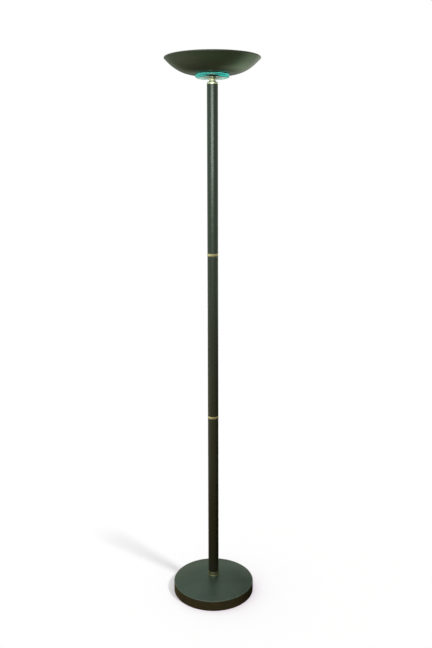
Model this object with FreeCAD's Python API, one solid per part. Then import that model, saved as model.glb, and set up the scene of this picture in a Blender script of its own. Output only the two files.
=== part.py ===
import FreeCAD, Part
import math, os
from FreeCAD import Vector as V

# Torchiere floor lamp. Millimetres, +Z up, origin on the floor at the centre of
# the round base, front of the lamp towards -Y.

# ---- driving dimensions ------------------------------------------------------
total_h = 1800.0          # floor to the top of the bowl's rim

# base
base_r = 137.0            # outer radius of the pressed cover
base_edge_z = 34.6        # height where the dome meets the rounded edge
base_top_z = 55.0         # flat seat for the collar
base_skirt_z = 1.5        # lower edge of the upright skirt
base_t = 1.2              # cover sheet
plate_t = 1.0             # bottom plate
felt_t = 2.5              # felt pad
weight_r = 128.0
weight_t = 14.0
weight_boss_z = base_top_z - base_t
recess_r, recess_top = 22.0, 30.0     # hollow under the boss
groove_w = 11.0
foot_screw_pcr = 110.0
inlet_z = 11.0            # height of the supply cord inlet at the back
inlet_r = 3.6             # bore of the gland

# threaded stud and nipples
stud_r, stud_bore = 6.5, 4.25
nip_r, nip_bore = 5.0, 3.5

# pole
tube_r, tube_t = 17.75, 1.0
tube_ri = tube_r - tube_t
spig_r = tube_ri - 0.05
collar_top = 67.5
ring1_z, ring2_z, ring_h = 618.4, 1169.1, 7.8
tube_top = 1717.4
plug_t, plug_in = 14.0, 6.0

# head
cap_top = 1723.4
neck_top = 1735.2
gasket_t = 0.5
disc_r, disc_t = 54.5, 11.5
disc_edge = 3.2           # rounding of the disc's upper edge
disc_ease = 9.0, 5.0      # wider easing of its lower edge: inward, upward
disc_z = neck_top + gasket_t
bowl_z = disc_z + disc_t + gasket_t   # underside of the bowl's flat seat
bowl_r = 153.6
bowl_t = 1.0
rim_roll = 2.6
seat_r = 58.0

# lamp
bulb_z = 1775.0
floor_z = bowl_z + bowl_t             # inside floor of the bowl
shelf_z = 1762.5                      # top of the bracket's shelves
tray_t = 0.5
cap_end = 58.8                        # half of the bulb's length over the caps
contact_x = 57.1                      # half of the contact to contact length
plunger_travel = 2.5
hinge_x, hinge_z = -78.0, 1789.0
shield_z = 1787.5                     # underside of the shield frame

NODES = []


def keep(name, *solids):
    for s in solids:
        assert s.isValid() and s.Volume > 0, name
    NODES.append((name, solids))


def section(start, *segs):
    """Closed section in the XZ plane. A segment is an end point, a pair of
    points for an arc, or a list of points for a smooth curve."""
    edges, p = [], start
    for s in segs:
        if isinstance(s, list):
            c = Part.BSplineCurve()
            c.interpolate([V(x, 0, z) for x, z in [p] + s])
            edges.append(c.toShape())
            p = s[-1]
        elif isinstance(s[0], tuple):
            edges.append(Part.Arc(V(p[0], 0, p[1]), V(s[0][0], 0, s[0][1]),
                                  V(s[1][0], 0, s[1][1])).toShape())
            p = s[1]
        else:
            edges.append(Part.LineSegment(V(p[0], 0, p[1]), V(s[0], 0, s[1])).toShape())
            p = s
    if p != start:
        edges.append(Part.LineSegment(V(p[0], 0, p[1]), V(start[0], 0, start[1])).toShape())
    return Part.Face(Part.Wire(edges))


def solid(shape):
    s = shape.Solids[0]
    if s.Volume < 0:
        s.reverse()
    return s


def turned(start, *segs):
    return solid(section(start, *segs).revolve(V(0, 0, 0), V(0, 0, 1), 360))


def ring(ro, ri, z0, z1, c=0.0):
    if c:
        return turned((ri, z0), (ro - c, z0), (ro, z0 + c), (ro, z1 - c), (ro - c, z1), (ri, z1))
    return turned((ri, z0), (ro, z0), (ro, z1), (ri, z1))


def cyl(r, p, d, h):
    return Part.makeCylinder(r, h, V(*p), V(*d))


def box(x0, y0, z0, x1, y1, z1):
    return Part.makeBox(x1 - x0, y1 - y0, z1 - z0, V(x0, y0, z0))


def slab(pts, y0, y1):
    """Prism along Y from a closed XZ outline."""
    w = Part.makePolygon([V(x, y0, z) for x, z in pts] + [V(pts[0][0], y0, pts[0][1])])
    return solid(Part.Face(w).extrude(V(0, y1 - y0, 0)))


def slab_x(pts, x0, x1):
    """Prism along X from a closed YZ outline."""
    w = Part.makePolygon([V(x0, y, z) for y, z in pts] + [V(x0, pts[0][0], pts[0][1])])
    return solid(Part.Face(w).extrude(V(x1 - x0, 0, 0)))


def turned_x(x_sign, pts, z):
    """Turned about the line y = 0, height z; pts are (distance along X, radius)."""
    w = Part.makePolygon([V(a, 0, z + r) for a, r in pts] + [V(pts[0][0], 0, z + pts[0][1])])
    s = solid(Part.Face(w).revolve(V(0, 0, z), V(1, 0, 0), 360))
    if x_sign < 0:
        s = s.mirror(V(0, 0, 0), V(1, 0, 0))
        s = solid(s)
    return s


def mirror_x(s):
    return solid(s.mirror(V(0, 0, 0), V(1, 0, 0)))


def hexagon(af, r_bore, z0, z1):
    ri = af / 2.0
    rc = ri / math.cos(math.pi / 6)
    pts = [V(rc * math.cos(math.radians(60 * i)), rc * math.sin(math.radians(60 * i)), z0)
           for i in range(6)]
    n = Part.Face(Part.makePolygon(pts + [pts[0]])).extrude(V(0, 0, z1 - z0))
    c = (rc - ri) * 1.1
    lim = turned((0, z0), (rc - c, z0), (rc, z0 + c * 0.6), (rc, z1 - c * 0.6), (rc - c, z1), (0, z1))
    return solid(n.common(lim).cut(cyl(r_bore, (0, 0, z0 - 1), (0, 0, 1), z1 - z0 + 2)))


def lead(d, pts, radii):
    """Round wire along straight runs joined by tangent arcs."""
    P = [V(*p) for p in pts]
    edges, at = [], P[0]
    for i in range(1, len(P) - 1):
        a = (P[i - 1] - P[i]).normalize()
        b = (P[i + 1] - P[i]).normalize()
        half = a.getAngle(b) / 2.0
        t = radii[i - 1] / math.tan(half)
        m = (a + b).normalize()
        c = P[i] + m * (radii[i - 1] / math.sin(half))
        p0, p1 = P[i] + a * t, P[i] + b * t
        edges.append(Part.LineSegment(at, p0).toShape())
        edges.append(Part.Arc(p0, c - m * radii[i - 1], p1).toShape())
        at = p1
    edges.append(Part.LineSegment(at, P[-1]).toShape())
    path = Part.Wire(edges)
    d0 = P[1] - P[0]
    prof = Part.Wire([Part.Circle(P[0], d0, d / 2.0).toShape()])
    s = solid(path.makePipeShell([prof], True, True))
    full = math.pi * d * d / 4 * path.Length
    assert abs(s.Volume / full - 1) < 0.01, (s.Volume, full)
    print("lead length %.1f, radii %s" % (path.Length, radii))
    return s


# ---- base ----------------------------------------------------------------------
# pressed cover: shallow dome, rounded edge, upright skirt
rho = ((base_r - 2.8) ** 2 - 22.0 ** 2) / (2 * (base_top_z - base_edge_z))
dome = lambda r: base_top_z - (r * r - 22.0 ** 2) / (2 * rho)
cover = turned(
    (6.75, base_top_z - base_t), (6.75, base_top_z), (22.0, base_top_z),
    ((80.0, dome(80.0)), (base_r - 2.8, base_edge_z)),
    ((base_r - 0.82, base_edge_z - 0.82), (base_r, base_edge_z - 2.8)),
    (base_r, base_skirt_z), (base_r - base_t, base_skirt_z),
    (base_r - base_t, base_edge_z - 2.9),
    ((base_r - base_t - 0.5, base_edge_z - 1.78), (base_r - 3.2, base_edge_z - 1.15)),
    ((80.0, dome(80.0) - base_t * 1.012), (22.0, base_top_z - base_t)))
cover = solid(cover.cut(cyl(5.1, (0, 130, inlet_z), (0, 1, 0), 15)))
keep("base_cover", cover)

# cast weight with a hollow boss, a groove for the leads and a pocket for the block
wz0 = felt_t + plate_t
wz1 = wz0 + weight_t
weight = turned(
    (recess_r, wz0), (weight_r - 2, wz0), (weight_r, wz0 + 2), (weight_r, wz1 - 2),
    (weight_r - 2, wz1), (33.0, wz1), ((30.9, wz1 + 0.7), (30.0, wz1 + 2.6)),
    (24.0, weight_boss_z - 2.2), (21.5, weight_boss_z), (7.0, weight_boss_z),
    (7.0, recess_top), (recess_r, recess_top))
weight = weight.cut(box(-groove_w / 2, 0, wz0 - 1, groove_w / 2, weight_r + 2, wz1 + 1))
weight = weight.cut(box(-15.7, 45, wz0 - 1, 15.7, 86.3, wz1 + 1))
foot = []
for a in (30, 150, 270):
    x, y = foot_screw_pcr * math.cos(math.radians(a)), foot_screw_pcr * math.sin(math.radians(a))
    foot.append((x, y))
    weight = weight.cut(cyl(2.0, (x, y, wz0 - 1), (0, 0, 1), 12))
keep("base_weight", solid(weight))

plate = Part.makeCylinder(base_r - base_t - 1.0, plate_t, V(0, 0, felt_t))
pad = ring(131.0, 40.0, 0, felt_t)
screws = []
for x, y in foot:
    plate = plate.cut(cyl(2.2, (x, y, felt_t - 1), (0, 0, 1), 4))
    pad = pad.cut(cyl(5.5, (x, y, -1), (0, 0, 1), 6))
    s = turned((0, 0.6), (2.6, 0.6), ((3.7, 1.0), (4.0, 1.9)), (4.0, felt_t), (2.0, felt_t),
               (2.0, 12.0), (1.4, 12.8), (0, 12.8))
    s.translate(V(x, y, 0))
    for w in ((2.4, 0.4), (0.4, 2.4)):
        s = s.cut(box(x - w[0], y - w[1], 0, x + w[0], y + w[1], 1.5))
    screws.append(solid(s))
keep("bottom_plate", solid(plate))
keep("bottom_plate_screws", *screws)
keep("felt_pad", solid(pad))

# bushing at the back where the supply cord enters
g = Part.makePolygon([V(inlet_r, 130.0, 0), V(4.9, 130.0, 0), V(6.0, 133.6, 0), V(6.0, 135.4, 0),
                      V(5.05, 135.4, 0), V(5.05, 137.0, 0), V(7.2, 137.0, 0), V(7.2, 138.6, 0),
                      V(6.4, 139.5, 0), V(4.4, 139.5, 0), V(inlet_r, 138.7, 0), V(inlet_r, 130.0, 0)])
g = solid(Part.Face(g).revolve(V(0, 0, 0), V(0, 1, 0), 360))
g.translate(V(0, 0, inlet_z))
keep("cord_gland", g)

# three pole terminal block in the weight's pocket
blk = box(-15.5, 66.0, wz0, 15.5, 86.0, wz0 + 13.0)
blk = blk.cut(box(-6.2, 65, wz0 + 8.6, -3.8, 87, wz0 + 14)).cut(box(3.8, 65, wz0 + 8.6, 6.2, 87, wz0 + 14))
sleeves, tscrews = [], []
for x in (-10.0, 0.0, 10.0):
    blk = blk.cut(cyl(2.3, (x, 65, 9.0), (0, 1, 0), 22))
    sl = cyl(2.3, (x, 67, 9.0), (0, 1, 0), 18).cut(cyl(1.4, (x, 66, 9.0), (0, 1, 0), 20))
    for y in (71.0, 81.0):
        blk = blk.cut(cyl(2.1, (x, y, 9.0), (0, 0, 1), 10))
        sl = sl.cut(cyl(1.5, (x, y, 9.0), (0, 0, 1), 4))
        t = cyl(1.5, (x, y, 10.2), (0, 0, 1), 5.3).cut(box(x - 2, y - 0.3, 14.4, x + 2, y + 0.3, 16))
        tscrews.append(solid(t))
    sleeves.append(solid(sl))
keep("terminal_block", solid(blk))
keep("terminal_sleeves", *sleeves)
keep("terminal_screws", *tscrews)

# hollow stud with its bush, washers and nut
stud_z0, stud_z1 = 18.5, 88.5
keep("base_stud", turned((stud_bore, stud_z0), (stud_r - 0.6, stud_z0), (stud_r, stud_z0 + 0.6),
                         (stud_r, stud_z1 - 0.6), (stud_r - 0.6, stud_z1), (stud_bore, stud_z1)))
keep("stud_bush", turned((3.3, 17.9), ((3.5, 17.45), (4.0, 17.3)), (6.2, 17.3), (6.2, stud_z0),
                         (stud_bore, stud_z0), (stud_bore, 24.5), (3.3, 24.5)))
keep("base_washer", ring(17.0, 6.7, 27.5, recess_top, 0.3))
lw = ring(11.0, 6.7, 26.0, 27.5).cut(box(0, -0.6, 25, 12, 0.6, 28))
keep("base_lock_washer", solid(lw))
keep("base_nut", hexagon(19.0, stud_r, 19.5, 26.0))

# brass collar at the foot of the pole, with a spigot into the tube
keep("base_collar", turned(
    (6.6, base_top_z), (6.6, collar_top + 5), (spig_r - 0.5, collar_top + 5), (spig_r, collar_top + 4.5),
    (spig_r, collar_top), (18.3, collar_top), ((18.75, collar_top - 0.2), (18.95, collar_top - 0.7)),
    (19.1, base_top_z + 2.6), ((19.7, base_top_z + 1.9), (19.8, base_top_z + 1.2)),
    (19.8, base_top_z), (16.5, base_top_z), (16.5, base_top_z + 8), (9.0, base_top_z + 8),
    (9.0, base_top_z)))

# ---- pole ------------------------------------------------------------------------


def tube(z0, z1):
    c = 0.45
    return turned((tube_ri, z0), (tube_r - c, z0), (tube_r, z0 + c), (tube_r, z1 - c),
                  (tube_r - c, z1), (tube_ri, z1))


def plug(z0, z1, bore):
    return turned((bore, z0), (tube_ri - 1.2, z0), (tube_ri, z0 + 1.2), (tube_ri, z1 - 1.2),
                  (tube_ri - 1.2, z1), (bore, z1))


def band(z0):
    z1 = z0 + ring_h
    zc = (z0 + z1) / 2
    return turned((13.5, z0 - 5), (spig_r - 0.4, z0 - 5), (spig_r, z0 - 4.6), (spig_r, z0),
                  (17.1, z0), (17.1, z0 + 0.6), (17.75, z0 + 0.6),
                  ((18.3, zc), (17.75, z1 - 0.6)), (17.1, z1 - 0.6), (17.1, z1), (spig_r, z1),
                  (spig_r, z1 + 4.6), (spig_r - 0.4, z1 + 5), (13.5, z1 + 5))


keep("lower_tube", tube(collar_top, ring1_z))
keep("middle_tube", tube(ring1_z + ring_h, ring2_z))
keep("upper_tube", tube(ring2_z + ring_h, tube_top))
keep("lower_tube_plugs", plug(collar_top + plug_in, collar_top + plug_in + plug_t, stud_r),
     plug(ring1_z - plug_in - plug_t, ring1_z - plug_in, stud_r))
keep("middle_tube_plugs", plug(ring1_z + ring_h + plug_in, ring1_z + ring_h + plug_in + plug_t, stud_r),
     plug(ring2_z - plug_in - plug_t, ring2_z - plug_in, stud_r))
keep("upper_tube_foot_plug", plug(ring2_z + ring_h + plug_in, ring2_z + ring_h + plug_in + plug_t, stud_r))
keep("upper_tube_head_plug", plug(1696.0, 1708.0, nip_r))
nips = []
for z in (ring1_z, ring2_z):
    nips.append(ring(stud_r, 4.5, z - plug_in - plug_t + 1.3, z + ring_h + plug_in + plug_t - 1.3, 0.6))
keep("coupling_nipples", *nips)
keep("lower_ring", band(ring1_z))
keep("upper_ring", band(ring2_z))

# ---- head ------------------------------------------------------------------------
keep("top_cap", turned(
    (5.1, cap_top), (15.4, cap_top), ((17.1, cap_top - 0.7), (tube_r, cap_top - 2.2)),
    (tube_r, tube_top), (spig_r, tube_top), (spig_r, tube_top - 5), (14.5, tube_top - 5),
    (14.5, cap_top - 4), (5.1, cap_top - 4)))
keep("neck", turned(
    (5.1, cap_top), (5.1, neck_top), (12.3, neck_top), ((12.75, neck_top - 0.35), (12.6, neck_top - 1.0)),
    [(11.7, neck_top - 2.2), (10.6, neck_top - 4.4), (10.15, neck_top - 6.6), (10.8, neck_top - 8.7),
     (12.6, neck_top - 10.2), (14.2, neck_top - 10.9)], (14.6, cap_top + 0.5), (14.6, cap_top)))
keep("lower_glass_gasket", ring(12.0, 5.1, neck_top, disc_z))
dm = disc_edge * (1 - math.sqrt(0.5))
ex, ez = disc_ease
keep("glass_disc", turned(
    (5.4, disc_z), (disc_r - ex, disc_z),
    ((disc_r - ex * (1 - math.sqrt(0.5)), disc_z + ez * (1 - math.sqrt(0.5))), (disc_r, disc_z + ez)),
    (disc_r, disc_z + disc_t - disc_edge),
    ((disc_r - dm, disc_z + disc_t - dm), (disc_r - disc_edge, disc_z + disc_t)),
    (5.4, disc_z + disc_t)))
keep("upper_glass_gasket", ring(30.0, 5.4, disc_z + disc_t, bowl_z))
keep("head_nipple", ring(nip_r, nip_bore, 1697.0, 1755.5, 0.5))
keep("nipple_bush", turned((2.7, 1751.5), (nip_bore, 1751.5), (nip_bore, 1755.5), (4.8, 1755.5),
                           (4.8, 1756.0), ((4.6, 1756.35), (4.2, 1756.5)), (3.2, 1756.5),
                           ((2.85, 1756.35), (2.7, 1756.0))))

# spun bowl: flat seat, swelling side, rim turned in


def bowl_out(r):
    zm = total_h - 3.4
    s = zm - (zm - 1744.8) * (1 - (r / bowl_r) ** 3.6628) ** (1 / 0.9294) - bowl_z
    return bowl_z + (s + math.sqrt(s * s + 0.36)) / 2


roll_z = total_h - rim_roll
pts = [(seat_r, bowl_z)] + [(r, bowl_out(r)) for r in
                            (66, 72, 78, 84, 90, 96, 102, 108, 114, 120, 126, 132, 138, 143, 147.2, 150.2)]
pts += [(152.1, 1794.95), (153.25, 1796.2), (bowl_r, roll_z)]
outer = Part.BSplineCurve()
outer.interpolate(Points=[V(x, 0, z) for x, z in pts], InitialTangent=V(1, 0, 0), FinalTangent=V(0, 0, 1))
u0, u1 = outer.FirstParameter, outer.LastParameter
ip = []
for i in range(41):
    u = u0 + (u1 - u0) * i / 40.0
    p, t = outer.value(u), outer.tangent(u)[0]
    ip.append(V(p.x - t.z * bowl_t, 0, p.z + t.x * bowl_t))
inner = Part.BSplineCurve()
inner.interpolate(Points=ip, InitialTangent=V(1, 0, 0), FinalTangent=V(0, 0, 1))
rc = bowl_r - rim_roll
ri = rim_roll - bowl_t
A = lambda a, b, c: Part.Arc(V(a[0], 0, a[1]), V(b[0], 0, b[1]), V(c[0], 0, c[1])).toShape()
L = lambda a, b: Part.LineSegment(V(a[0], 0, a[1]), V(b[0], 0, b[1])).toShape()
inner_top = (ip[-1].x, ip[-1].z)
w = Part.Wire([
    L((5.3, bowl_z), (seat_r, bowl_z)), outer.toShape(),
    A((bowl_r, roll_z), (rc, total_h), (rc - rim_roll, roll_z)),
    L((rc - rim_roll, roll_z), (rc - ri, roll_z)),
    A((rc - ri, roll_z), (rc, total_h - bowl_t), inner_top),
    inner.toShape(), L((ip[0].x, ip[0].z), (5.3, floor_z)), L((5.3, floor_z), (5.3, bowl_z))])
keep("bowl", solid(Part.Face(w).revolve(V(0, 0, 0), V(0, 0, 1), 360)))

# ---- lamp gear on the bowl's floor ---------------------------------------------
bt = 1.0
b0 = floor_z
bracket = slab([(-76, shelf_z), (-50, shelf_z), (-50, b0 + bt), (50, b0 + bt), (50, shelf_z), (76, shelf_z),
                (76, shelf_z - bt), (51, shelf_z - bt), (51, b0), (-51, b0), (-51, shelf_z - bt),
                (-76, shelf_z - bt)], -15, 15)
bracket = bracket.cut(cyl(5.2, (0, 0, b0 - 1), (0, 0, 1), 4))
for sy in (-1, 1):          # hinge arms, folded up from the left shelf's long edges
    y0, y1 = (14.0, 15.0) if sy > 0 else (-15.0, -14.0)
    arm = slab([(-76, shelf_z - bt), (-64, shelf_z - bt), (-64, 1772), (hinge_x + 4.0, hinge_z),
                (hinge_x - 4.0, hinge_z), (-80, 1772)], y0, y1)
    arm = arm.fuse(cyl(4.0, (hinge_x, y0, hinge_z), (0, 1, 0), 1.0))
    bracket = bracket.fuse(arm)
bracket = bracket.cut(cyl(1.5, (hinge_x, -16, hinge_z), (0, 1, 0), 32))
for s in (-1, 1):           # lead holes, lead notches and screw holes
    bracket = bracket.cut(cyl(2.4, (s * 49.0, 0, 1756.5), (s, 0, 0), 3))
    bracket = bracket.cut(box(min(s * 72.9, s * 77), -1.8, shelf_z - 2, max(s * 72.9, s * 77), 1.8, shelf_z + 1))
    for y in (-5.5, 5.5):
        bracket = bracket.cut(cyl(1.6, (s * 66.0, y, shelf_z - 2), (0, 0, 1), 3))
for y in (-12.0, 12.0):
    bracket = bracket.cut(cyl(1.25, (73.0, y, shelf_z - 2), (0, 0, 1), 3))
bracket = bracket.cut(cyl(2.0, (-52, -7.5, 1756.0), (1, 0, 0), 3))
keep("lamp_bracket", solid(bracket.removeSplitter()))

keep("head_washer", ring(10.0, 5.2, b0 + bt, b0 + bt + 1.0, 0.2))
keep("head_nut", hexagon(17.0, nip_r, b0 + bt + 1.0, b0 + bt + 5.0))

# aluminium tray under the bulb
tz = shelf_z
tray = slab_x([(-25.0, tz + 8.5), (-11.0, tz), (11.0, tz), (25.0, tz + 8.5),
               (24.75, tz + 8.93), (10.85, tz + tray_t), (-10.85, tz + tray_t), (-24.75, tz + 8.93)], -46, 46)
tray = tray.fuse(box(-70, -9, tz, 70, 9, tz + tray_t)).removeSplitter()
for s in (-1, 1):
    for y in (-5.5, 5.5):
        tray = tray.cut(cyl(1.6, (s * 66.0, y, tz - 1), (0, 0, 1), 3))
keep("reflector_tray", solid(tray))

# ceramic holders for the double-ended bulb
hz0, hz1 = tz + tray_t, 1785.0


def holder():
    h = box(47, -8.5, hz0, 74, 8.5, hz1)
    h = h.makeFillet(1.5, [e for e in h.Edges if abs(e.tangentAt(0).z) > 0.9])
    h = h.makeChamfer(0.8, [e for e in h.Edges if e.BoundBox.ZMin > hz1 - 0.01 and e.Length > 10])
    h = h.cut(cyl(4.9, (46, 0, bulb_z), (1, 0, 0), 13.3))
    h = h.cut(box(46, -4.9, bulb_z, 59.3, 4.9, hz1 + 1))
    h = h.cut(cyl(2.45, (58, 0, bulb_z), (1, 0, 0), 6))
    h = h.cut(cyl(3.6, (62.5, 0, bulb_z), (1, 0, 0), 12))
    h = h.cut(box(72.5, -5.6, 1765.4, 75, 5.6, 1781.6))
    h = h.cut(cyl(1.2, (70.0, 0, 1768.4), (1, 0, 0), 5))
    for y in (-5.5, 5.5):
        h = h.cut(cyl(1.5, (66.0, y, hz0 - 1), (0, 0, 1), 7))
    return solid(h)


keep("right_lamp_holder", holder())
keep("left_lamp_holder", mirror_x(holder()))

hs = []
for s in (-1, 1):
    for y in (-5.5, 5.5):
        k = turned((0, 1759.4), (1.8, 1759.4), ((2.55, 1759.75), (2.75, 1760.6)), (2.75, shelf_z - bt),
                   (1.5, shelf_z - bt), (1.5, 1767.6), (1.0, 1768.2), (0, 1768.2))
        k.translate(V(s * 66.0, y, 0))
        k = k.cut(box(s * 66 - 2, y - 0.3, 1759, s * 66 + 2, y + 0.3, 1760.2))
        hs.append(solid(k))
keep("holder_screws", *hs)

tp = box(72.5, -5.4, 1765.6, 73.5, 5.4, 1781.4).cut(cyl(1.2, (72, 0, 1768.4), (1, 0, 0), 3))
ts = turned_x(1, [(70.2, 0), (70.2, 1.2), (73.5, 1.2), (73.5, 2.4), (75.0, 2.4), (75.4, 1.9), (75.4, 0)], 1768.4)
ts = solid(ts.cut(box(74.7, -3, 1768.1, 76, 3, 1768.7)))
keep("terminal_plates", solid(tp), mirror_x(solid(tp)))
keep("terminal_plate_screws", ts, mirror_x(ts))

# sprung contact plungers and their coil springs
cz = bulb_z
tip = contact_x + 0.15
pl = [(tip, 0), (tip + 0.25, 1.0), (tip + 0.9, 1.9), (tip + 1.8, 2.4), (62.6, 2.4), (62.6, 3.3),
      (64.0, 3.3), (64.0, 1.2), (67.0, 1.2), (67.0, 0)]
pr = turned_x(1, pl, cz)
keep("right_contact", pr)
keep("left_contact", mirror_x(pr))


def coil():
    x0, x1, wire, rad, pitch = 64.05, 72.45, 0.6, 2.75, 1.3
    h = x1 - x0 - wire
    hx = Part.makeHelix(pitch, h, rad)
    prof = Part.Wire([Part.Circle(V(rad, 0, 0), V(0, 1, 0), wire / 2).toShape()])
    s = solid(Part.Wire(hx.Edges).makePipeShell([prof], True, True))
    s.rotate(V(0, 0, 0), V(0, 1, 0), 90)
    s.translate(V(x0 + wire / 2, 0, cz))
    return s


sp = coil()
keep("right_contact_spring", sp)
keep("left_contact_spring", mirror_x(sp))

# double-ended halogen bulb: quartz tube with pinched ends, ceramic caps, filament
qt = turned_x(1, [(-40.0, 0), (-40.0, 3.0), (-38.6, 4.3), (-37.0, 4.8), (37.0, 4.8), (38.6, 4.3),
                  (40.0, 3.0), (40.0, 0)], cz)
qt = qt.fuse(box(-47, -3.6, cz - 1.3, 47, 3.6, cz + 1.3))
qt = qt.cut(turned_x(1, [(-37.2, 0), (-37.2, 2.6), (-35.8, 3.8), (35.8, 3.8), (37.2, 2.6), (37.2, 0)], cz))
keep("halogen_tube", solid(qt.removeSplitter()))
cp = turned_x(1, [(41.0, 0), (41.0, 3.7), (41.7, 4.4), (cap_end - 0.6, 4.4), (cap_end, 3.8), (cap_end, 2.9),
                  (contact_x, 2.9), (contact_x, 0)], cz)
cp = solid(cp.cut(box(40, -3.6, cz - 1.3, 47, 3.6, cz + 1.3)))
keep("halogen_caps", cp, mirror_x(cp))
keep("filament", turned_x(1, [(-37.2, 0), (-37.2, 0.3), (-33, 0.3), (-32.6, 0.75), (32.6, 0.75), (33, 0.3),
                              (37.2, 0.3), (37.2, 0)], cz))

# hinged safety glass over the bulb
fz = shield_z
fr = box(-60, -24, fz, 60, 24, fz + 5.0).cut(box(-59, -23, fz + 1, 59, 23, fz + 6))
fr = fr.cut(box(-52, -17, fz - 1, 52, 17, fz + 2))
for sx in (-1, 1):
    for sy in (-1, 1):
        x0, x1 = sorted((sx * 30.0, sx * 42.0))
        y0, y1 = sorted((sy * 19.0, sy * 23.5))
        fr = fr.fuse(box(x0, y0, fz + 4.05, x1, y1, fz + 4.8))
for sy in (-1, 1):
    y0, y1 = sorted((sy * 12.2, sy * 13.2))
    ear = slab([(hinge_x, hinge_z - 3), (-59.5, fz), (-59.5, fz + 4.4), (hinge_x, hinge_z + 3)], y0, y1)
    ear = ear.fuse(cyl(3.0, (hinge_x, y0, hinge_z), (0, 1, 0), 1.0))
    fr = fr.fuse(ear)
fr = fr.fuse(box(59.5, -6, fz, 83, 6, fz + 1))
fr = fr.cut(cyl(1.55, (hinge_x, -20, hinge_z), (0, 1, 0), 40))
keep("shield_frame", solid(fr.removeSplitter()))
gs = box(-58.4, -22.4, fz + 1, 58.4, 22.4, fz + 4)
gs = gs.makeChamfer(0.5, [e for e in gs.Edges])
keep("glass_shield", solid(gs))

hp = Part.makePolygon([V(0, -16.4, 0), V(1.9, -16.4, 0), V(2.4, -15.9, 0), V(2.4, -15.0, 0), V(1.5, -15.0, 0),
                       V(1.5, 15.0, 0), V(2.4, 15.0, 0), V(2.4, 15.9, 0), V(1.9, 16.4, 0), V(0, 16.4, 0),
                       V(0, -16.4, 0)])
hp = solid(Part.Face(hp).revolve(V(0, 0, 0), V(0, 1, 0), 360))
hp.translate(V(hinge_x, 0, hinge_z))
keep("hinge_pin", hp)

# spring clip that grips the frame's tongue
cz0 = shelf_z - bt
clip = box(70, -14, cz0 - 0.6, 78, 14, cz0)
clip = clip.fuse(box(77.4, -9, cz0 - 0.6, 78, 9, fz - 0.3))
clip = clip.fuse(box(77.4, -6.9, fz - 0.9, 84, 6.9, fz - 0.3))
for sy in (-1, 1):
    y0, y1 = sorted((sy * 6.3, sy * 6.9))
    clip = clip.fuse(box(79.0, y0, fz - 0.9, 84, y1, fz + 4.0))
    y0, y1 = sorted((sy * 6.3, sy * 8.4))
    clip = clip.fuse(box(79.0, y0, fz + 3.4, 84, y1, fz + 4.0))
clip = clip.cut(box(69, -1.8, cz0 - 1, 76.6, 1.8, cz0 + 1))
for y in (-12.0, 12.0):
    clip = clip.cut(cyl(1.25, (73.0, y, cz0 - 2), (0, 0, 1), 3))
keep("shield_catch", solid(clip.removeSplitter()))
rv = []
for y in (-12.0, 12.0):
    k = turned((0, cz0 - 1.4), (1.4, cz0 - 1.4), ((2.0, cz0 - 1.1), (2.2, cz0 - 0.6)), (1.25, cz0 - 0.6),
               (1.25, shelf_z), (2.2, shelf_z), ((2.0, shelf_z + 0.6), (1.3, shelf_z + 0.9)), (0, shelf_z + 0.9))
    k.translate(V(73.0, y, 0))
    rv.append(k)
keep("catch_rivets", *rv)

# ---- inner leads: terminal block, groove, stud, pole, head -----------------------
ld = 1.8
keep("live_lead", lead(ld, [
    (-10, 75, 9), (-10, 61, 9), (-3.2, 47, 8.6), (-2.6, 26, 8.2), (-1.3, 0.45, 7.6), (-1.3, 0.45, 1759.7),
    (-34, 0.3, 1759.4), (-44, 0, 1756.5), (-75.0, 0, 1756.5), (-75.0, 0, 1765.6)],
    [9, 12, 20, 8.5, 3.3, 8, 8, 4.0]))
keep("neutral_lead", lead(ld, [
    (0, 75, 9), (0, 61, 9), (1.8, 47, 11.2), (2.0, 26, 10.8), (1.3, 0.45, 10.4), (1.3, 0.45, 1759.7),
    (34, 0.3, 1759.4), (44, 0, 1756.5), (75.0, 0, 1756.5), (75.0, 0, 1765.6)],
    [12, 12, 20, 6.0, 3.3, 8, 8, 4.0]))
keep("earth_lead", lead(ld, [
    (10, 75, 9), (10, 61, 9), (3.4, 47, 8.6), (1.4, 26, 8.0), (0, -1.35, 7.4), (0, -1.35, 1759.6),
    (-13, -16, 1759), (-35, -24, 1757.5), (-48.2, -23, 1756), (-48.2, -11.8, 1756)],
    [9, 12, 20, 8.5, 3.3, 8, 8, 4.0]))
tag = cyl(4.0, (-50, -7.5, 1756), (1, 0, 0), 0.8).fuse(box(-50, -14.8, 1754.4, -49.2, -7.5, 1757.6))
tag = tag.cut(cyl(2.05, (-51, -7.5, 1756), (1, 0, 0), 3))
keep("earth_tag", solid(tag.removeSplitter()))
es = turned_x(-1, [(46.6, 0), (46.6, 2.2), (47.3, 3.5), (49.2, 3.5), (49.2, 2.0), (54.5, 2.0), (55.0, 1.5),
                   (55.0, 0)], 1756.0)
es.translate(V(0, -7.5, 0))
es = solid(es.cut(box(-47.6, -11.5, 1755.6, -46, -3.5, 1756.4)))
keep("earth_screw", es)

# ---- one file for each node -------------------------------------------------------
os.makedirs("parts", exist_ok=True)
names = set()
for name, solids in NODES:
    assert name not in names, name
    names.add(name)
    shape = solids[0] if len(solids) == 1 else Part.makeCompound(list(solids))
    shape.exportStep("parts/%s.step" % name)
print(len(names), "nodes written")
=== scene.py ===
import bpy, bmesh, math
from mathutils import Matrix, Vector, geometry
import numpy as np


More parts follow.
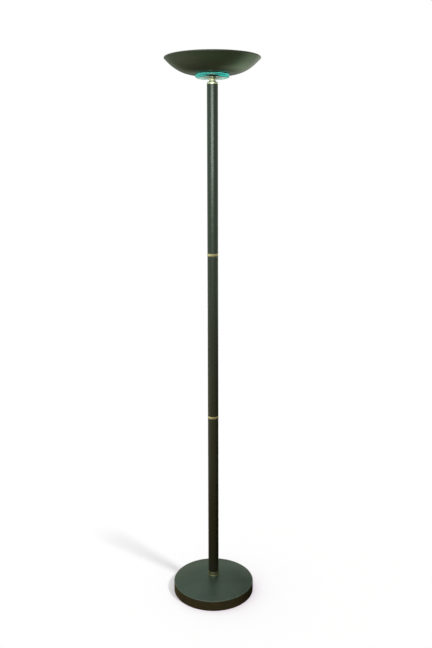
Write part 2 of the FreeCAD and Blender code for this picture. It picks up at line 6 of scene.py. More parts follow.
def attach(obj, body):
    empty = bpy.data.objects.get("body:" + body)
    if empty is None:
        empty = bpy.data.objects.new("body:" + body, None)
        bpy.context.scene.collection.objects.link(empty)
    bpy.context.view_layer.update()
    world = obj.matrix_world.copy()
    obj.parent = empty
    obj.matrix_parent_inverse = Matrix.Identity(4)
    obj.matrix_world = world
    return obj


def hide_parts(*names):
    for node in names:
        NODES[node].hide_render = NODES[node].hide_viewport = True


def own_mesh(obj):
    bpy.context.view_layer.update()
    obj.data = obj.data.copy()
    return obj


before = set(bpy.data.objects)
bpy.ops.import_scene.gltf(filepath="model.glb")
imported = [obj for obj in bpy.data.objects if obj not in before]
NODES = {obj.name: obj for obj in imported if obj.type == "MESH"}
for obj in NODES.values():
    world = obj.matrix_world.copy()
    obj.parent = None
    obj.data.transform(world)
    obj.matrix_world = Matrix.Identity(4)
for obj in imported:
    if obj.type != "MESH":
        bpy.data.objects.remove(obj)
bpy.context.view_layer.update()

# ------------------------------------------------------------------ camera
cam_data = bpy.data.cameras.new("cam")
cam = bpy.data.objects.new("cam", cam_data)
bpy.context.scene.collection.objects.link(cam)
cam_data.sensor_width = 36.0
cam_data.lens = 722.37 * 36.0 / 648.0
cam_data.shift_x = 3.15 / 648.0
cam_data.shift_y = -48.97 / 648.0
cam_data.clip_start, cam_data.clip_end = 0.05, 60.0
cam_data.dof.use_dof = False
cam.matrix_world = (Matrix.Translation((0.0, -2.3526, 1.4367))
                    @ Matrix.Rotation(math.radians(82.0), 4, "X")
                    @ Matrix.Rotation(math.radians(-0.13), 4, "Z"))
bpy.context.scene.camera = cam

# ------------------------------------------------------------------ node helper


class Mat:
    """A procedural material built from nodes, with the shader's constants on its own sockets."""

    def __init__(self, name, **consts):
        self.m = bpy.data.materials.new(name)
        self.m.use_nodes = True
        self.t = self.m.node_tree
        self.t.nodes.clear()
        self.out = self.t.nodes.new("ShaderNodeOutputMaterial")
        self.b = self.t.nodes.new("ShaderNodeBsdfPrincipled")
        self.t.links.new(self.b.outputs[0], self.out.inputs["Surface"])
        for k, v in consts.items():
            self.b.inputs[k.replace("_", " ")].default_value = v
        self.tc = self.t.nodes.new("ShaderNodeTexCoord")
        self.obj = self.tc.outputs["Object"]

    def node(self, kind, **props):
        n = self.t.nodes.new(kind)
        for k, v in props.items():
            setattr(n, k, v)
        return n

    def link(self, a, b):
        self.t.links.new(a, b)

    def put(self, socket, v):
        if isinstance(v, bpy.types.NodeSocket):
            self.link(v, socket)
        else:
            socket.default_value = v

    def noise(self, scale, detail=3.0, rough=0.55, vec=None, dist=0.0):
        n = self.node("ShaderNodeTexNoise")
        n.inputs["Scale"].default_value = scale
        n.inputs["Detail"].default_value = detail
        n.inputs["Roughness"].default_value = rough
        n.inputs["Distortion"].default_value = dist
        self.link(vec or self.obj, n.inputs["Vector"])
        return n.outputs["Fac"]

    def voronoi(self, scale, feature="F1", vec=None):
        n = self.node("ShaderNodeTexVoronoi", feature=feature)
        n.inputs["Scale"].default_value = scale
        self.link(vec or self.obj, n.inputs["Vector"])
        return n.outputs["Distance"]

    def stretch(self, sx, sy, sz, vec=None, loc=(0, 0, 0)):
        n = self.node("ShaderNodeMapping")
        n.inputs["Scale"].default_value = (sx, sy, sz)
        n.inputs["Location"].default_value = loc
        self.link(vec or self.obj, n.inputs["Vector"])
        return n.outputs["Vector"]

    def xyz(self, vec=None):
        n = self.node("ShaderNodeSeparateXYZ")
        self.link(vec or self.obj, n.inputs[0])
        return n.outputs

    def math(self, op, a, b=0.0, c=0.0, clamp=False):
        n = self.node("ShaderNodeMath", operation=op, use_clamp=clamp)
        for i, v in enumerate((a, b, c)):
            self.put(n.inputs[i], v)
        return n.outputs[0]

    def remap(self, v, a, b, c=0.0, d=1.0, smooth=False):
        n = self.node("ShaderNodeMapRange", clamp=True)
        if smooth:
            n.interpolation_type = "SMOOTHSTEP"
        self.put(n.inputs["Value"], v)
        for k, x in (("From Min", a), ("From Max", b), ("To Min", c), ("To Max", d)):
            n.inputs[k].default_value = x
        return n.outputs["Result"]

    def mix(self, f, a, b, blend="MIX"):
        n = self.node("ShaderNodeMix", data_type="RGBA", blend_type=blend)
        self.put(n.inputs[0], f)
        self.put(n.inputs[6], a if isinstance(a, bpy.types.NodeSocket) else (*a, 1.0))
        self.put(n.inputs[7], b if isinstance(b, bpy.types.NodeSocket) else (*b, 1.0))
        return n.outputs[2]

    def normal(self):
        n = self.node("ShaderNodeNewGeometry")
        return n.outputs["True Normal"], n

    def local_normal(self):
        return self.tc.outputs["Normal"]

    def bump(self, h, dist, strength=1.0, under=None):
        n = self.node("ShaderNodeBump")
        n.inputs["Strength"].default_value = strength
        n.inputs["Distance"].default_value = dist
        self.link(h, n.inputs["Height"])
        if under is not None:
            self.link(under, n.inputs["Normal"])
        return n.outputs["Normal"]

    def radius(self):
        s = self.xyz()
        a = self.math("MULTIPLY", s[0], s[0])
        b = self.math("MULTIPLY", s[1], s[1])
        return self.math("SQRT", self.math("ADD", a, b))


# ------------------------------------------------------------------ materials
SEAMS = (0.0675, 0.6184, 0.6262, 1.1691, 1.1769, 1.7174)     # ends of the pole's tubes


def near(m, z, levels, width):
    """1 at the given heights, 0 further off than width."""
    d = None
    for lv in levels:
        a = m.math("ABSOLUTE", m.math("SUBTRACT", z, lv))
        d = a if d is None else m.math("MINIMUM", d, a)
    return m.remap(d, 0.0, width, 1.0, 0.0, smooth=True)


def paint(name, place):
    """Satin stove paint over steel. place is pole, base or bowl."""
    m = Mat(name, Metallic=0.0, IOR=1.5)
    s = m.xyz()
    r = m.radius()
    slow = m.remap(m.noise(5.0, 3.0, 0.6), 0.36, 0.64)
    mid = m.remap(m.noise(26.0, 4.0, 0.6), 0.38, 0.68)
    if place == "pole":
        # painted shade and reflection: the pole is painted darker and warmer low down and lighter and greener high up,
        # standing in for light falling off down the pole and a warm floor reflected near the bottom
        h = m.remap(s[2], 0.45, 1.35, smooth=True)
        c = m.mix(h, (0.0175, 0.0142, 0.0062), (0.0180, 0.0260, 0.0190))
        c = m.mix(m.math("MULTIPLY", slow, 0.30), c, (0.024, 0.0260, 0.0170))
        c = m.mix(m.math("MULTIPLY", mid, 0.25), c, (0.016, 0.0175, 0.0120))
        # painted shade: the foot of the pole is painted darker still
        foot_shade = m.remap(s[2], 0.08, 0.50, 0.75, 0.0, smooth=True)
        c = m.mix(foot_shade, c, (0.0085, 0.0068, 0.0026))
        wear_and_sheen = near(m, s[2], SEAMS, 0.0035)
        rough0 = 0.285
    elif place == "base":
        c = m.mix(slow, (0.0175, 0.0310, 0.0240), (0.0225, 0.0345, 0.0260))
        c = m.mix(m.math("MULTIPLY", mid, 0.35), c, (0.028, 0.0280, 0.0190))
        # the side wall is painted brown: partly rust, partly a painted reflection of a warm brown floor
        side = m.math("MULTIPLY", m.remap(r, 0.1325, 0.1362), m.remap(s[2], 0.0345, 0.0315))
        rust = m.remap(m.noise(34.0, 5.0, 0.65), 0.35, 0.62)
        brown = m.mix(rust, (0.024, 0.0165, 0.0065), (0.040, 0.0215, 0.0070))
        c = m.mix(m.math("MULTIPLY", side, 0.85), c, brown)
        # painted reflection: the back left of the dome is painted a paler brown, standing in for a warm reflection
        # there
        back_left_reflection = m.math("ADD", m.math("MULTIPLY", s[0], -0.75), m.math("MULTIPLY", s[1], 0.66))
        back_left_reflection = m.math("MULTIPLY", m.remap(back_left_reflection, 0.045, 0.135), m.remap(m.noise(12.0, 3.0, 0.5), 0.3, 0.7, 0.35, 1.0))
        c = m.mix(m.math("MULTIPLY", back_left_reflection, 0.45), c, (0.042, 0.0340, 0.0200))
        # painted highlight: a paler band along the base's rounded top edge stands in for its reflection of the room;
        # the ring at the collar seat is wear
        rim = m.remap(m.math("ABSOLUTE", m.math("SUBTRACT", r, 0.1350)), 0.0, 0.0016, 1.0, 0.0, smooth=True)
        wear_and_sheen = m.math("MULTIPLY", rim, m.remap(s[2], 0.029, 0.032))
        wear_and_sheen = m.math("MAXIMUM", wear_and_sheen, m.remap(m.math("ABSOLUTE", m.math("SUBTRACT", r, 0.0205)), 0.0, 0.0012, 0.8, 0.0))
        rough0 = 0.32
    else:
        c = m.mix(slow, (0.0290, 0.0350, 0.0190), (0.0205, 0.0340, 0.0210))
        c = m.mix(m.math("MULTIPLY", mid, 0.35), c, (0.0250, 0.0230, 0.0150))
        wear_and_sheen = m.remap(m.math("ABSOLUTE", m.math("SUBTRACT", s[2], 1.7990)), 0.0, 0.0014, 1.0, 0.0, smooth=True)
        rough0 = 0.36
    # rubbed edges: thin patches where the paint is polished to a paler grey on the pole's seams and the bowl's rim; on
    # the base's rounded rim edge, raised to 0.80, they are a painted highlight
    rub_and_sheen = m.math("MULTIPLY", wear_and_sheen, m.remap(m.noise(150.0, 5.0, 0.7), 0.42, 0.60))
    c = m.mix(m.math("MULTIPLY", rub_and_sheen, 0.80 if place == "base" else 0.55), c, (0.130, 0.132, 0.108))
    # fine scratches along and across, and settled dust on faces that look up
    along = m.remap(m.noise(210.0, 3.0, 0.6, vec=m.stretch(1.0, 1.0, 0.035)), 0.665, 0.700)
    across = m.remap(m.noise(150.0, 3.0, 0.6, vec=m.stretch(0.10, 0.10, 1.0), dist=0.4), 0.680, 0.715)
    scratch = m.math("MAXIMUM", along, across)
    scratch = m.math("MULTIPLY", scratch, m.remap(m.noise(9.0, 2.0, 0.5), 0.42, 0.60))
    c = m.mix(m.math("MULTIPLY", scratch, 0.30), c, (0.090, 0.092, 0.075))
    up = m.remap(m.xyz(m.local_normal())[2], 0.45, 0.95)
    grains = m.remap(m.noise(700.0, 3.0, 0.6), 0.60, 0.68)
    film = m.remap(m.noise(16.0, 4.0, 0.6), 0.35, 0.75)
    dust = m.math("MULTIPLY", up, m.math("ADD", m.math("MULTIPLY", grains, 0.16), m.math("MULTIPLY", film, 0.07)))
    c = m.mix(dust, c, (0.26, 0.25, 0.21))
    if place == "bowl":
        # the inside is stoved in a warm cream, browned where the bulb's heat rises
        n_up = m.xyz(m.local_normal())[2]
        ins = m.math("MULTIPLY", m.remap(n_up, 0.0, 0.03), m.remap(r, 0.1500, 0.1485))
        lite = m.mix(m.remap(m.noise(14.0, 4.0, 0.6), 0.35, 0.70), (0.80, 0.76, 0.66), (0.74, 0.68, 0.55))
        heat = m.math("MULTIPLY", m.remap(r, 0.030, 0.105, 1.0, 0.0, smooth=True),
                      m.remap(m.noise(20.0, 5.0, 0.6), 0.30, 0.70, 0.3, 1.0))
        lite = m.mix(m.math("MULTIPLY", heat, 0.55), lite, (0.52, 0.43, 0.29))
        fly = m.remap(m.noise(330.0, 3.0, 0.6), 0.66, 0.70)
        lite = m.mix(m.math("MULTIPLY", fly, 0.5), lite, (0.20, 0.17, 0.12))
        c = m.mix(ins, c, lite)
    m.link(c, m.b.inputs["Base Color"])
    rough = m.math("ADD", rough0 - 0.05, m.math("MULTIPLY", m.noise(38.0, 5.0, 0.65), 0.11))
    rough = m.math("SUBTRACT", rough, m.math("MULTIPLY", m.math("MAXIMUM", scratch, rub_and_sheen), 0.09))
    rough = m.math("ADD", rough, m.math("MULTIPLY", dust, 0.9))
    m.link(rough, m.b.inputs["Roughness"])
    n = m.bump(m.noise(900.0, 2.0, 0.5), {"pole": 0.000005, "base": 0.00002, "bowl": 0.00003}[place], 0.6)
    if place == "bowl":
        ridge = m.math("MULTIPLY", m.math("SINE", m.math("MULTIPLY", r, 2300.0)), m.noise(30.0, 2.0, 0.5))
        n = m.bump(ridge, 0.00003, 0.5, under=n)
    n = m.bump(m.math("ADD", scratch, rub_and_sheen), -0.00004, 0.5, under=n)
    m.link(n, m.b.inputs["Normal"])
    return m


def metal(name, tones, rough, tarnish=(0.1, 0.07, 0.03), amount=0.2, brush=None, fine=0.00002, base=1.0):
    """Bare or plated metal with uneven tarnish and fine scratches."""
    m = Mat(name, Metallic=base)
    c = m.mix(m.remap(m.noise(60.0, 4.0, 0.6), 0.35, 0.65), tones[0], tones[1])
    t = m.remap(m.noise(140.0, 6.0, 0.7), 0.52, 0.70)
    spots = m.remap(m.noise(520.0, 3.0, 0.6), 0.64, 0.70)
    c = m.mix(m.math("MULTIPLY", m.math("MAXIMUM", t, spots), amount), c, tarnish)
    m.link(c, m.b.inputs["Base Color"])
    vec = m.stretch(*brush) if brush else m.obj
    s = m.noise(900.0, 3.0, 0.6, vec=vec)
    r = m.math("ADD", rough - 0.05, m.math("MULTIPLY", s, 0.10))
    r = m.math("ADD", r, m.math("MULTIPLY", t, 0.18 * min(1.0, amount * 2)))
    m.link(r, m.b.inputs["Roughness"])
    m.link(m.bump(s, fine, 0.6), m.b.inputs["Normal"])
    return m


def cast_iron():
    m = Mat("cast_iron", Metallic=0.6)
    c = m.mix(m.remap(m.noise(35.0, 5.0, 0.65), 0.35, 0.65), (0.10, 0.10, 0.105), (0.06, 0.058, 0.055))
    rust = m.remap(m.noise(22.0, 6.0, 0.7), 0.55, 0.68)
    c = m.mix(m.math("MULTIPLY", rust, 0.7), c, (0.16, 0.07, 0.03))
    m.link(c, m.b.inputs["Base Color"])
    m.link(m.math("ADD", 0.55, m.math("MULTIPLY", rust, 0.3)), m.b.inputs["Roughness"])
    m.link(m.bump(m.noise(420.0, 6.0, 0.7), 0.0004, 0.8), m.b.inputs["Normal"])
    return m


def plain(name, a, b, rough=0.5, bump=0.00003, scale=500.0, soil=None, **consts):
    """Plastic, ceramic, enamel or rubber: two drifting tones, a little soil, a fine surface."""
    m = Mat(name, **consts)
    c = m.mix(m.remap(m.noise(90.0, 4.0, 0.6), 0.35, 0.68), a, b)
    if soil:
        d = m.remap(m.noise(45.0, 5.0, 0.65), 0.54, 0.74)
        c = m.mix(m.math("MULTIPLY", d, 0.45), c, soil)
    m.link(c, m.b.inputs["Base Color"])
    m.link(m.math("ADD", rough - 0.06, m.math("MULTIPLY", m.noise(160.0, 4.0, 0.6), 0.14)), m.b.inputs["Roughness"])
    m.link(m.bump(m.noise(scale, 3.0, 0.6), bump, 0.6), m.b.inputs["Normal"])
    return m


def earth_sleeve():
    m = Mat("green_yellow_sleeve")
    s = m.xyz()
    w = m.math("SINE", m.math("MULTIPLY", m.math("ADD", m.math("ADD", s[0], s[1]), s[2]), 420.0))
    c = m.mix(m.remap(w, 0.1, 0.3), (0.09, 0.28, 0.04), (0.72, 0.60, 0.05))
    m.link(c, m.b.inputs["Base Color"])
    m.link(m.math("ADD", 0.42, m.math("MULTIPLY", m.noise(300.0), 0.12)), m.b.inputs["Roughness"])
    m.link(m.bump(m.noise(900.0), 0.00002, 0.5), m.b.inputs["Normal"])
    return m


def green_glass():
    m = Mat("green_glass", Base_Color=(0.94, 1.0, 0.985, 1.0), Transmission_Weight=1.0, IOR=1.52, Metallic=0.0)
    smear = m.remap(m.noise(40.0, 4.0, 0.6), 0.45, 0.75)
    ground = m.remap(m.radius(), 0.0460, 0.0500)
    r = m.math("ADD", m.math("MULTIPLY", smear, 0.06), m.math("MULTIPLY", ground, 0.30))
    m.link(m.math("ADD", r, m.math("MULTIPLY", m.math("MULTIPLY", ground, m.noise(600.0, 3.0)), 0.08)),
           m.b.inputs["Roughness"])
    m.link(m.bump(m.noise(70.0, 2.0, 0.5), 0.00004, 0.4), m.b.inputs["Normal"])
    v = m.node("ShaderNodeVolumeAbsorption")
    v.inputs["Color"].default_value = (0.0, 0.955, 0.90, 1.0)
    v.inputs["Density"].default_value = 28.0
    m.link(v.outputs[0], m.out.inputs["Volume"])
    return m


def clear_glass(name, tint, smear_amount=0.06, ior=1.47):
    m = Mat(name, Base_Color=(*tint, 1.0), Transmission_Weight=1.0, IOR=ior)
    smear = m.remap(m.noise(45.0, 5.0, 0.65), 0.42, 0.78)
    m.link(m.math("ADD", 0.01, m.math("MULTIPLY", smear, smear_amount)), m.b.inputs["Roughness"])
    m.link(m.bump(m.noise(60.0, 2.0, 0.5), 0.00003, 0.3), m.b.inputs["Normal"])
    return m


def felt_material():
    m = Mat("felt", Sheen_Weight=0.6, Sheen_Roughness=0.6)
    fibre = m.noise(1500.0, 6.0, 0.75, dist=0.8)
    c = m.mix(m.remap(m.noise(420.0, 5.0, 0.7), 0.3, 0.7), (0.020, 0.024, 0.020), (0.05, 0.055, 0.047))
    lint = m.remap(fibre, 0.62, 0.72)
    c = m.mix(m.math("MULTIPLY", lint, 0.4), c, (0.16, 0.16, 0.14))
    m.link(c, m.b.inputs["Base Color"])
    m.link(m.math("ADD", 0.86, m.math("MULTIPLY", m.noise(300.0), 0.1)), m.b.inputs["Roughness"])
    m.link(m.bump(fibre, 0.0005, 0.9), m.b.inputs["Normal"])
    return m


ROUND = (0.05, 0.05, 1.0)       # turning marks run round the pole's axis
pole, base, bowl_m = paint("pole_paint", "pole"), paint("base_paint", "base"), paint("bowl_paint", "bowl")
brass = metal("pale_brass", [(0.86, 0.81, 0.61), (0.79, 0.74, 0.54)], 0.42, (0.36, 0.28, 0.14), 0.22, brush=ROUND)
ring_brass = metal("ring_brass", [(0.88, 0.73, 0.47), (0.80, 0.64, 0.39)], 0.40, (0.26, 0.17, 0.07), 0.35, brush=ROUND)
yellow_zinc = metal("yellow_zinc_plate", [(0.86, 0.78, 0.54), (0.78, 0.70, 0.47)], 0.27, (0.30, 0.24, 0.15), 0.25)
# the collar at the foot: a darker, duller brass than the cap and rings
collar_brass = metal("dark_dull_brass", [(0.30, 0.27, 0.17), (0.24, 0.215, 0.13)], 0.42, (0.09, 0.07, 0.035), 0.6,
                  brush=ROUND)
zinc = metal("zinc_plate", [(0.60, 0.60, 0.57), (0.68, 0.66, 0.58)], 0.32, (0.25, 0.22, 0.16), 0.35)
nickel = metal("nickel_plate", [(0.70, 0.68, 0.63), (0.62, 0.60, 0.55)], 0.24, (0.28, 0.25, 0.2), 0.25)
silver = metal("silver_contact", [(0.86, 0.84, 0.80), (0.78, 0.76, 0.72)], 0.18, (0.2, 0.18, 0.16), 0.3)
spring = metal("spring_steel", [(0.42, 0.42, 0.43), (0.34, 0.34, 0.36)], 0.30, (0.12, 0.09, 0.07), 0.3)
tungsten = metal("tungsten", [(0.30, 0.29, 0.28), (0.22, 0.21, 0.21)], 0.35, (0.1, 0.1, 0.12), 0.3)
tray_alu = metal("bright_aluminium", [(0.88, 0.88, 0.88), (0.80, 0.80, 0.81)], 0.22, (0.45, 0.42, 0.36), 0.3,
                 brush=(0.03, 1.0, 1.0))
iron, earth_m, felt_m = cast_iron(), earth_sleeve(), felt_material()
black_plate = plain("plate_paint", (0.022, 0.022, 0.021), (0.032, 0.031, 0.029), 0.52, 0.00005, 800.0,
                    soil=(0.07, 0.065, 0.055))
enamel = plain("cream_enamel", (0.80, 0.77, 0.68), (0.73, 0.68, 0.56), 0.33, 0.00004, 700.0, soil=(0.45, 0.37, 0.25))
ceramic = plain("steatite", (0.84, 0.82, 0.75), (0.76, 0.72, 0.63), 0.62, 0.00008, 900.0, soil=(0.42, 0.34, 0.24))
pale_rubber = plain("pale_rubber", (0.80, 0.82, 0.78), (0.72, 0.74, 0.69), 0.55, soil=(0.55, 0.54, 0.47))
nylon = plain("white_nylon", (0.78, 0.77, 0.71), (0.70, 0.68, 0.60), 0.45, soil=(0.5, 0.46, 0.38))
black_plastic = plain("black_bushing", (0.020, 0.020, 0.020), (0.032, 0.031, 0.029), 0.48, soil=(0.08, 0.075, 0.065))
brown = plain("brown_sleeve", (0.13, 0.055, 0.025), (0.17, 0.08, 0.04), 0.5)
blue = plain("blue_sleeve", (0.03, 0.10, 0.30), (0.05, 0.14, 0.36), 0.5)
disc_m, shield_m = green_glass(), clear_glass("shield_glass", (0.96, 0.985, 0.975))
quartz = clear_glass("quartz", (0.97, 0.98, 1.0), 0.03, 1.46)

LOOK = {
    "base_cover": base, "base_weight": iron, "bottom_plate": black_plate, "bottom_plate_screws": zinc,
    "felt_pad": felt_m, "cord_gland": black_plastic, "terminal_block": nylon, "terminal_sleeves": brass,
    "terminal_screws": zinc, "base_stud": zinc, "stud_bush": nylon, "base_washer": zinc,
    "base_lock_washer": spring, "base_nut": zinc, "base_collar": collar_brass,
    "lower_tube": pole, "middle_tube": pole, "upper_tube": pole, "lower_tube_plugs": zinc,
    "middle_tube_plugs": zinc, "upper_tube_foot_plug": zinc, "upper_tube_head_plug": zinc,
    "coupling_nipples": zinc, "lower_ring": ring_brass, "upper_ring": ring_brass, "top_cap": brass, "neck": brass,
    "lower_glass_gasket": pale_rubber, "glass_disc": disc_m, "upper_glass_gasket": pale_rubber, "head_nipple": yellow_zinc,
    "nipple_bush": nylon, "head_washer": zinc, "head_nut": zinc, "bowl": bowl_m, "lamp_bracket": enamel,
    "reflector_tray": tray_alu, "left_lamp_holder": ceramic, "right_lamp_holder": ceramic,
    "holder_screws": zinc, "terminal_plates": nickel, "terminal_plate_screws": zinc,
    "left_contact": silver, "right_contact": silver, "left_contact_spring": spring,
    "right_contact_spring": spring, "halogen_tube": quartz, "halogen_caps": ceramic, "filament": tungsten,
    "shield_frame": enamel, "glass_shield": shield_m, "hinge_pin": nickel, "shield_catch": spring,
    "catch_rivets": nickel, "live_lead": brown, "neutral_lead": blue, "earth_lead": earth_m,
    "earth_tag": nickel, "earth_screw": brass,
}
for name, o in NODES.items():
    for s in o.material_slots:
        s.material = LOOK[name].m

# ------------------------------------------------------------------ pieces made here


def new_piece(name, verts, faces, mat, body, smooth=True):
    me = bpy.data.meshes.new(name)
    me.from_pydata([tuple(v) for v in verts], [], faces)
    me.validate()
    me.update()
    bm = bmesh.new()
    bm.from_mesh(me)
    bmesh.ops.recalc_face_normals(bm, faces=bm.faces)
    bm.to_mesh(me)
    bm.free()
    if smooth:
        me.polygons.foreach_set("use_smooth", [True] * len(me.polygons))
    me.materials.append(mat.m)
    o = bpy.data.objects.new(name, me)
    bpy.context.scene.collection.objects.link(o)
    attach(o, body)
    return o


def wire_mesh(path, radius, sides=8):
    """Round wire along a dense list of points, closed at both ends."""
    P = np.array(path, float)
    T = np.gradient(P, axis=0)
    T /= np.linalg.norm(T, axis=1)[:, None]
    ref = np.array([0.0, 0.0, 1.0]) if abs(T[0][2]) < 0.9 else np.array([0.0, 1.0, 0.0])
    N = np.cross(T[0], ref)
    N /= np.linalg.norm(N)
    verts, faces = [], []
    for i in range(len(P)):
        N = N - T[i] * N.dot(T[i])
        N /= np.linalg.norm(N)
        B = np.cross(T[i], N)
        for k in range(sides):
            a = 2 * math.pi * k / sides
            verts.append(P[i] + radius * (math.cos(a) * N + math.sin(a) * B))
        if i:
            q = (i - 1) * sides
            for k in range(sides):
                k2 = (k + 1) % sides
                faces.append((q + k, q + k2, q + sides + k2, q + sides + k))
    faces.append(tuple(range(sides)))
    faces.append(tuple(range(len(verts) - sides, len(verts))))
    return verts, faces


def contact_spring(side):
    """Coil spring behind a contact: dead coils at both ends, open coils between."""
    x0, x1, wire, rad, z = 0.06405, 0.07245, 0.0006, 0.00275, 1.775
    a, b = x0 + wire / 2, x1 - wire / 2
    dead, live = 1.25, 4.0
    lift = [(0.0, 0.0), (dead, wire * 1.04 * dead)]
    span = (b - a) - 2 * wire * 1.04 * dead
    lift += [(dead + live, wire * 1.04 * dead + span), (2 * dead + live, b - a)]
    t = np.linspace(0, 2 * dead + live, 200)
    x = a + np.interp(t, [p[0] for p in lift], [p[1] for p in lift])
    ang = 2 * np.pi * t
    path = np.c_[side * x, rad * np.cos(ang), z + rad * np.sin(ang)]
    verts, faces = wire_mesh(path, wire / 2, 8)
    name = "left_contact_coil" if side < 0 else "right_contact_coil"
    o = new_piece(name, verts, faces, spring, "root")
    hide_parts("left_contact_spring" if side < 0 else "right_contact_spring")
    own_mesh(o)
    return o


contact_spring(-1)
contact_spring(1)


def filament_coil():
    """Coiled filament with straight tails and three ring supports."""
    z, x0, x1, rad, wire = 1.775, -0.0326, 0.0326, 0.00062, 0.00011
    turns = 118
    t = np.linspace(0, turns, turns * 12 + 1)
    x = x0 + (x1 - x0) * t / turns
    path = np.c_[x, rad * np.cos(2 * np.pi * t), z + rad * np.sin(2 * np.pi * t)]
    verts, faces = wire_mesh(path, wire, 5)
    for s in (-1, 1):
        p = [(s * 0.0325, 0.00062, z), (s * 0.0331, 0.0003, z), (s * 0.0338, 0, z), (s * 0.0355, 0, z), (s * 0.0371, 0, z)]
        v, f = wire_mesh(p, 0.00028, 8)
        k = len(verts)
        verts += v
        faces += [tuple(i + k for i in q) for q in f]
    for x in (-0.0165, 0.0, 0.0165):
        th = np.linspace(0, 2 * np.pi * 1.9, 60)
        rr = np.interp(th, [0, 2 * np.pi * 0.7, 2 * np.pi * 1.9], [0.00085, 0.0030, 0.00365])
        p = np.c_[x + 0.0006 * th / th[-1], rr * np.cos(th), z + rr * np.sin(th)]
        v, f = wire_mesh(p, 0.00009, 5)
        k = len(verts)
        verts += v
        faces += [tuple(i + k for i in q) for q in f]
    o = new_piece("filament_coil", verts, faces, tungsten, "root")
    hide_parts("filament")
    return o


filament_coil()


def felt_ring():
    """Die-cut felt: soft rounded edges, three screw holes, a slightly uneven face."""
    rng = np.random.default_rng(7)
    holes = [(0.110 * math.cos(math.radians(a)), 0.110 * math.sin(math.radians(a))) for a in (30, 150, 270)]
    pts, rims = [], []

    def circle(cx, cy, r, n, rim=False):
        k = len(pts)
        for i in range(n):
            a = 2 * math.pi * i / n
            pts.append(Vector((cx + r * math.cos(a), cy + r * math.sin(a))))
        if rim:
            rims.append(list(range(k, k + n)))

    for d, rim in ((0.0, True), (0.0002, False), (0.0005, False), (0.0011, False), (0.0024, False)):
        circle(0, 0, 0.0400 + d, 168, rim)
        circle(0, 0, 0.1310 - d, 480, rim)
        for hx, hy in holes:
            circle(hx, hy, 0.0055 + d, 40, rim)

    def depth(x, y):
        r = math.hypot(x, y)
        return min([r - 0.0400, 0.1310 - r] + [math.hypot(x - hx, y - hy) - 0.0055 for hx, hy in holes])

    for r in np.arange(0.0440, 0.1280, 0.0032):
        n = int(2 * math.pi * r / 0.0034)
        for a in np.linspace(0, 2 * math.pi, n, endpoint=False) + rng.uniform(0, 0.05):
            q = rng.uniform(-0.0005, 0.0005, 2)
            x, y = r * math.cos(a) + q[0], r * math.sin(a) + q[1]
            if depth(x, y) > 0.0040:
                pts.append(Vector((x, y)))
    edges = [(ring[i], ring[(i + 1) % len(ring)]) for ring in rims for i in range(len(ring))]
    flat, _, tris = geometry.delaunay_2d_cdt(pts, edges, [], 0, 1e-7)[:3]
    assert len(flat) == len(pts)
    keep_faces = []
    for t in tris:
        cx, cy = sum(flat[k].x for k in t) / 3, sum(flat[k].y for k in t) / 3
        if depth(cx, cy) > 0.0:
            keep_faces.append(tuple(t))
    n = len(flat)
    verts, faces = [], []
    for side in (0, 1):
        for p in flat:
            d = max(0.0, depth(p.x, p.y))
            drop = 0.0 if d >= 0.0011 else 0.0011 - math.sqrt(0.0011 ** 2 - (0.0011 - d) ** 2)
            drop += 0.00008 * rng.uniform()
            verts.append((p.x, p.y, 0.0025 - drop if side else drop))
    for t in keep_faces:
        faces.append(t[::-1])
        faces.append(tuple(k + n for k in t))
    for ring in rims:
        for i in range(len(ring)):
            a, b = ring[i], ring[(i + 1) % len(ring)]
            faces.append((a, b, b + n, a + n))
    o = new_piece("felt", verts, faces, felt_m, "root")
    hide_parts("felt_pad")
    return o


felt_ring()

# ------------------------------------------------------------------ stage
scene = bpy.context.scene
scene.view_settings.view_transform = "Standard"
scene.view_settings.look = "None"
scene.view_settings.exposure = 0.0
scene.view_settings.gamma = 1.0


class Tree:
    def __init__(self, t):
        self.t = t
        t.nodes.clear()

    def n(self, kind, **props):
        n = self.t.nodes.new(kind)
        for k, v in props.items():
            setattr(n, k, v)
        return n

    def put(self, sock, v):
        if isinstance(v, bpy.types.NodeSocket):
            self.t.links.new(v, sock)
        else:
            sock.default_value = v

    def math(self, op, a, b=0.0, clamp=False):
        n = self.n("ShaderNodeMath", operation=op, use_clamp=clamp)
        self.put(n.inputs[0], a)
        self.put(n.inputs[1], b)
        return n.outputs[0]

    def remap(self, v, a, b, c=0.0, d=1.0):
        n = self.n("ShaderNodeMapRange", clamp=True, interpolation_type="SMOOTHSTEP")
        self.put(n.inputs["Value"], v)
        for k, x in (("From Min", a), ("From Max", b), ("To Min", c), ("To Max", d)):
            n.inputs[k].default_value = x
        return n.outputs["Result"]

    def scaled(self, col, f):
        n = self.n("ShaderNodeVectorMath", operation="SCALE")
        n.inputs[0].default_value = col
        self.put(n.inputs["Scale"], f)
        return n.outputs[0]

    def add(self, a, b):
        n = self.n("ShaderNodeVectorMath", operation="ADD")
        self.put(n.inputs[0], a)
        self.put(n.inputs[1], b)
        return n.outputs[0]

    def dot(self, a, b):
        n = self.n("ShaderNodeVectorMath", operation="DOT_PRODUCT")
        self.put(n.inputs[0], a)
        self.put(n.inputs[1], b)
        return n.outputs["Value"]


def total(t, parts):
    out = None
    for col, f in parts:
        v = t.scaled(col, f)
        out = v if out is None else t.add(out, v)
    return out


